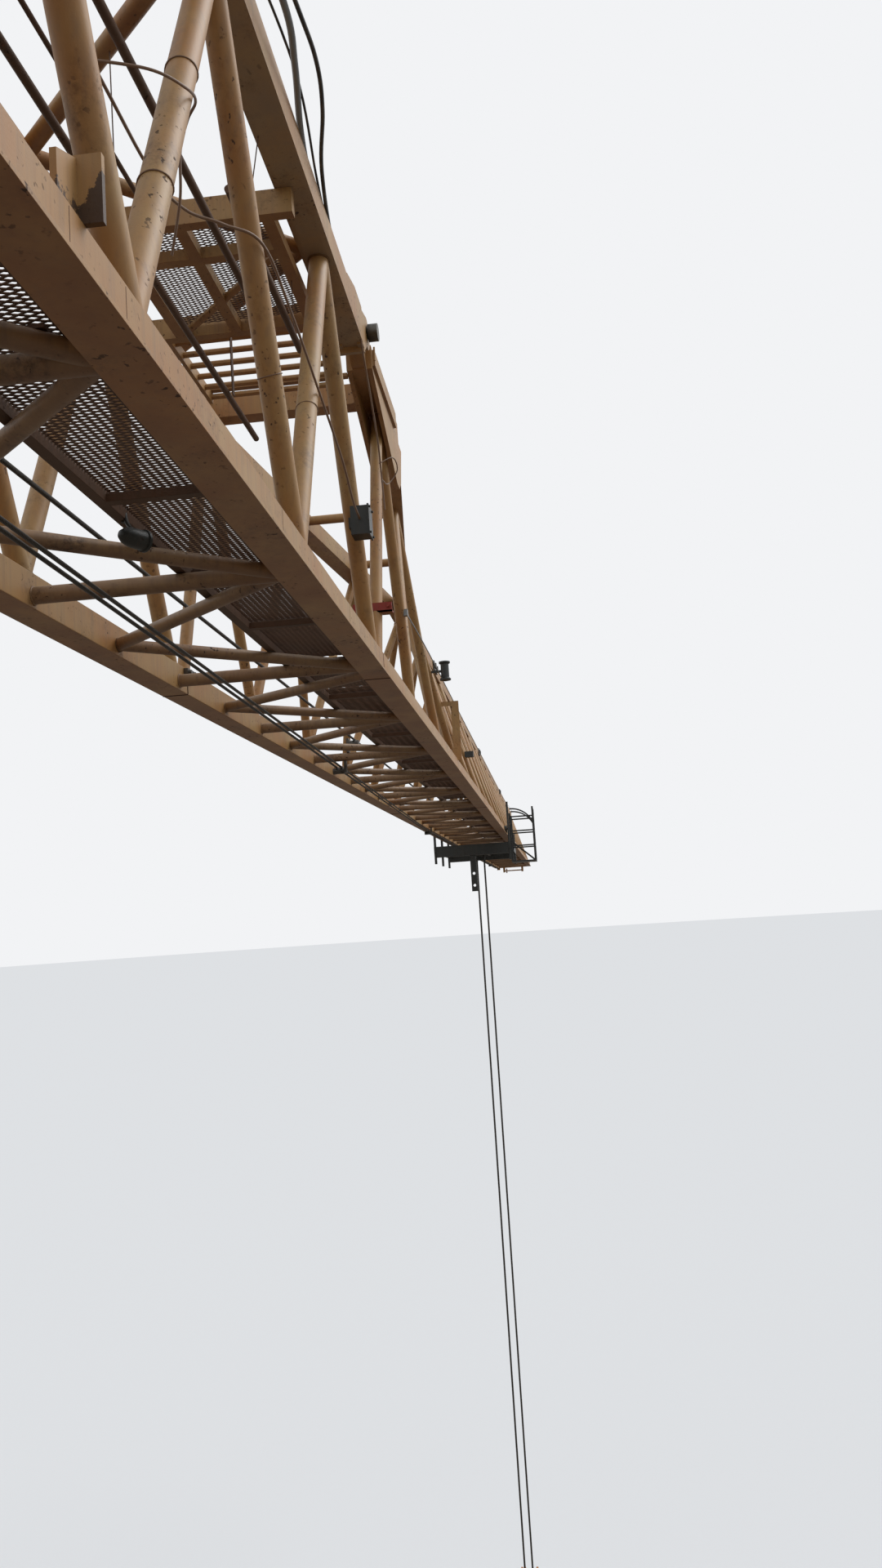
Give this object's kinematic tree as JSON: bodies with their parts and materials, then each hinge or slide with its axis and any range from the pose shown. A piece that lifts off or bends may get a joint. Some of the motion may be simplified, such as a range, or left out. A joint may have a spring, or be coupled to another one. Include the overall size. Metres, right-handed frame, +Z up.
{
  "type": "flat-top tower crane, 1:2 scale model",
  "caption": "Flat-top tower crane at half size: lattice mast on a base cross, slewing jib and counter-jib, trolley with service cage, rope falls and hook block.",
  "frame": {"origin": "middle of the base cross's underside, where it meets the foundation, on the slewing axis", "axes": "+Z up along the slewing axis, +X along the jib from the mast to its tip, +Y to the side away from the cab"},
  "size_m": [32.003, 2.6162, 11.5449],
  "materials": {
    "yellow_paint": "faded yellow enamel with rust streaks",
    "bare_steel": "bare machined steel, greasy",
    "grey_paint": "grey machine enamel",
    "greasy_steel": "dark grease over paint",
    "wire_rope": "greased wire rope",
    "window_glass": "clear safety glass",
    "ballast_blocks": "raw cast ballast",
    "cabinet_paint": "light grey enamel",
    "walkway_steel": "worn paint and rust"
  },
  "bodies": {
    "tower": {"base_cross": "yellow_paint", "mast_legs": "yellow_paint", "mast_lacing_front": "yellow_paint", "mast_lacing_back": "yellow_paint", "mast_lacing_left": "yellow_paint", "mast_lacing_right": "yellow_paint", "mast_ladder": "walkway_steel", "slewing_support": "yellow_paint", "slewing_ring": "bare_steel"},
    "slewing": {"turntable": "yellow_paint", "slew_motors": "grey_paint", "slewing_tower": "yellow_paint", "cab_shell": "yellow_paint", "cab_windows": "window_glass", "cab_platform": "yellow_paint", "counter_jib_beams": "yellow_paint", "counter_jib_truss": "yellow_paint", "counter_jib_deck": "walkway_steel", "counter_jib_rails": "yellow_paint", "counterweights": "ballast_blocks", "hoist_winch": "grey_paint", "winch_drum": "bare_steel", "electric_cabinet": "cabinet_paint", "near_bottom_chord": "yellow_paint", "far_bottom_chord": "yellow_paint", "root_top_chords": "yellow_paint", "taper_top_chords": "yellow_paint", "apex_chord": "yellow_paint", "near_side_lacing": "yellow_paint", "far_side_lacing": "yellow_paint", "floor_lacing": "yellow_paint", "top_lacing": "yellow_paint", "joint_pins": "bare_steel", "walkway_frame": "walkway_steel", "walkway_mesh": "walkway_steel", "top_platform": "yellow_paint", "trolley_winch": "grey_paint", "rope_guides": "bare_steel", "jib_ropes": "wire_rope", "jib_tip": "yellow_paint"},
    "trolley": {"trolley_frame": "greasy_steel", "trolley_wheels": "greasy_steel", "trolley_cage": "greasy_steel", "hoist_falls": "wire_rope", "hook_block": "yellow_paint"}
  },
  "joints": [
    {"name": "slewing", "type": "hinge", "parent": "tower", "child": "slewing", "pos_m": [0, 0, 9.68], "axis": [0, 0, 1], "continuous": true},
    {"name": "trolley_travel", "type": "slide", "parent": "slewing", "child": "trolley", "axis": [1, 0, 0], "range_m": [-12.3, 9.7]}
  ]
}
